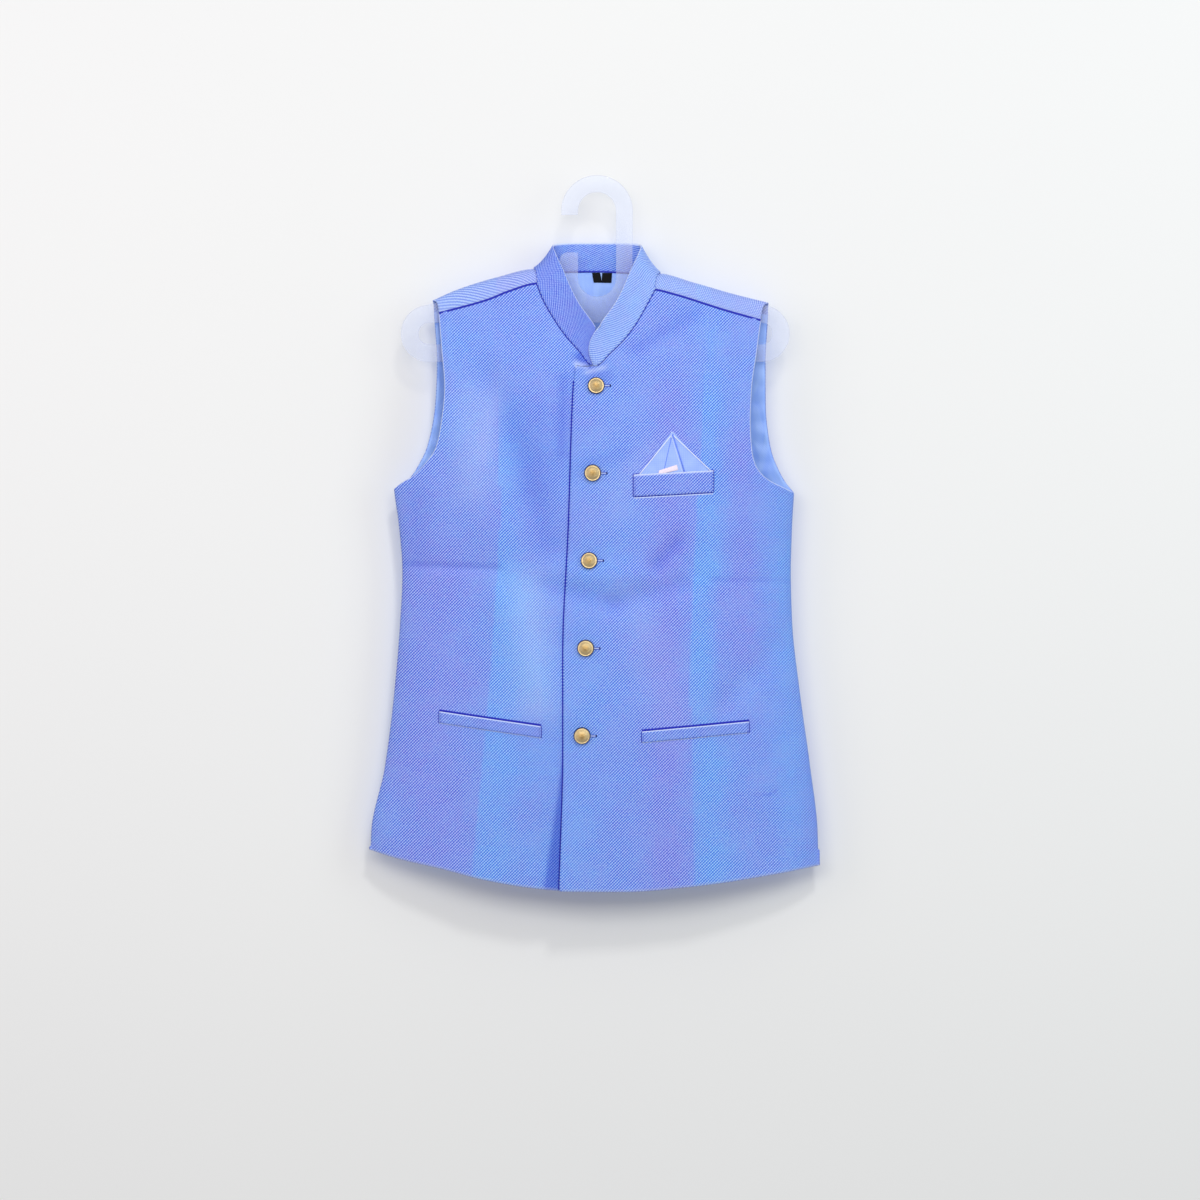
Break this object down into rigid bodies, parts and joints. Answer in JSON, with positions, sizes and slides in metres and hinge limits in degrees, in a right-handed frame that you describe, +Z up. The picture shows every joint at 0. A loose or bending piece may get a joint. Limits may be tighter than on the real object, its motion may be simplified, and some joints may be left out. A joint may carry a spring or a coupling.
{
  "type": "sleeveless nehru jacket on a flat hanger",
  "caption": "Sleeveless jacket with a stand collar, buttoned front, welt pockets and a folded pocket square, hanging flat on a plate hanger with a hook.",
  "frame": {"origin": "top of the inside of the hanger's hook, where it bears on the peg that holds it", "axes": "+Z up, the front of the jacket faces -Y, +X is the wearer's left"},
  "size_m": [0.5128, 0.0668, 0.8178],
  "materials": {
    "twill": "matt woven twill, powder blue",
    "satin": "smooth satin lining, pale blue",
    "brass": "brushed antique gold",
    "ribbon": "black woven ribbon",
    "card": "matt white stiffener",
    "frosted": "frosted translucent moulding"
  },
  "bodies": {
    "root": {"front_left": "twill", "front_right": "twill", "back": "twill", "back_lining": "satin", "collar": "twill", "breast_welt": "twill", "pocket_welt_right": "twill", "pocket_welt_left": "twill", "pocket_square_left": "twill", "pocket_square_right": "twill", "pocket_stiffener": "card", "button_1": "brass", "button_2": "brass", "button_3": "brass", "button_4": "brass", "button_5": "brass", "neck_label_1": "ribbon", "neck_label_2": "ribbon", "hanger": "frosted"}
  },
  "joints": []
}
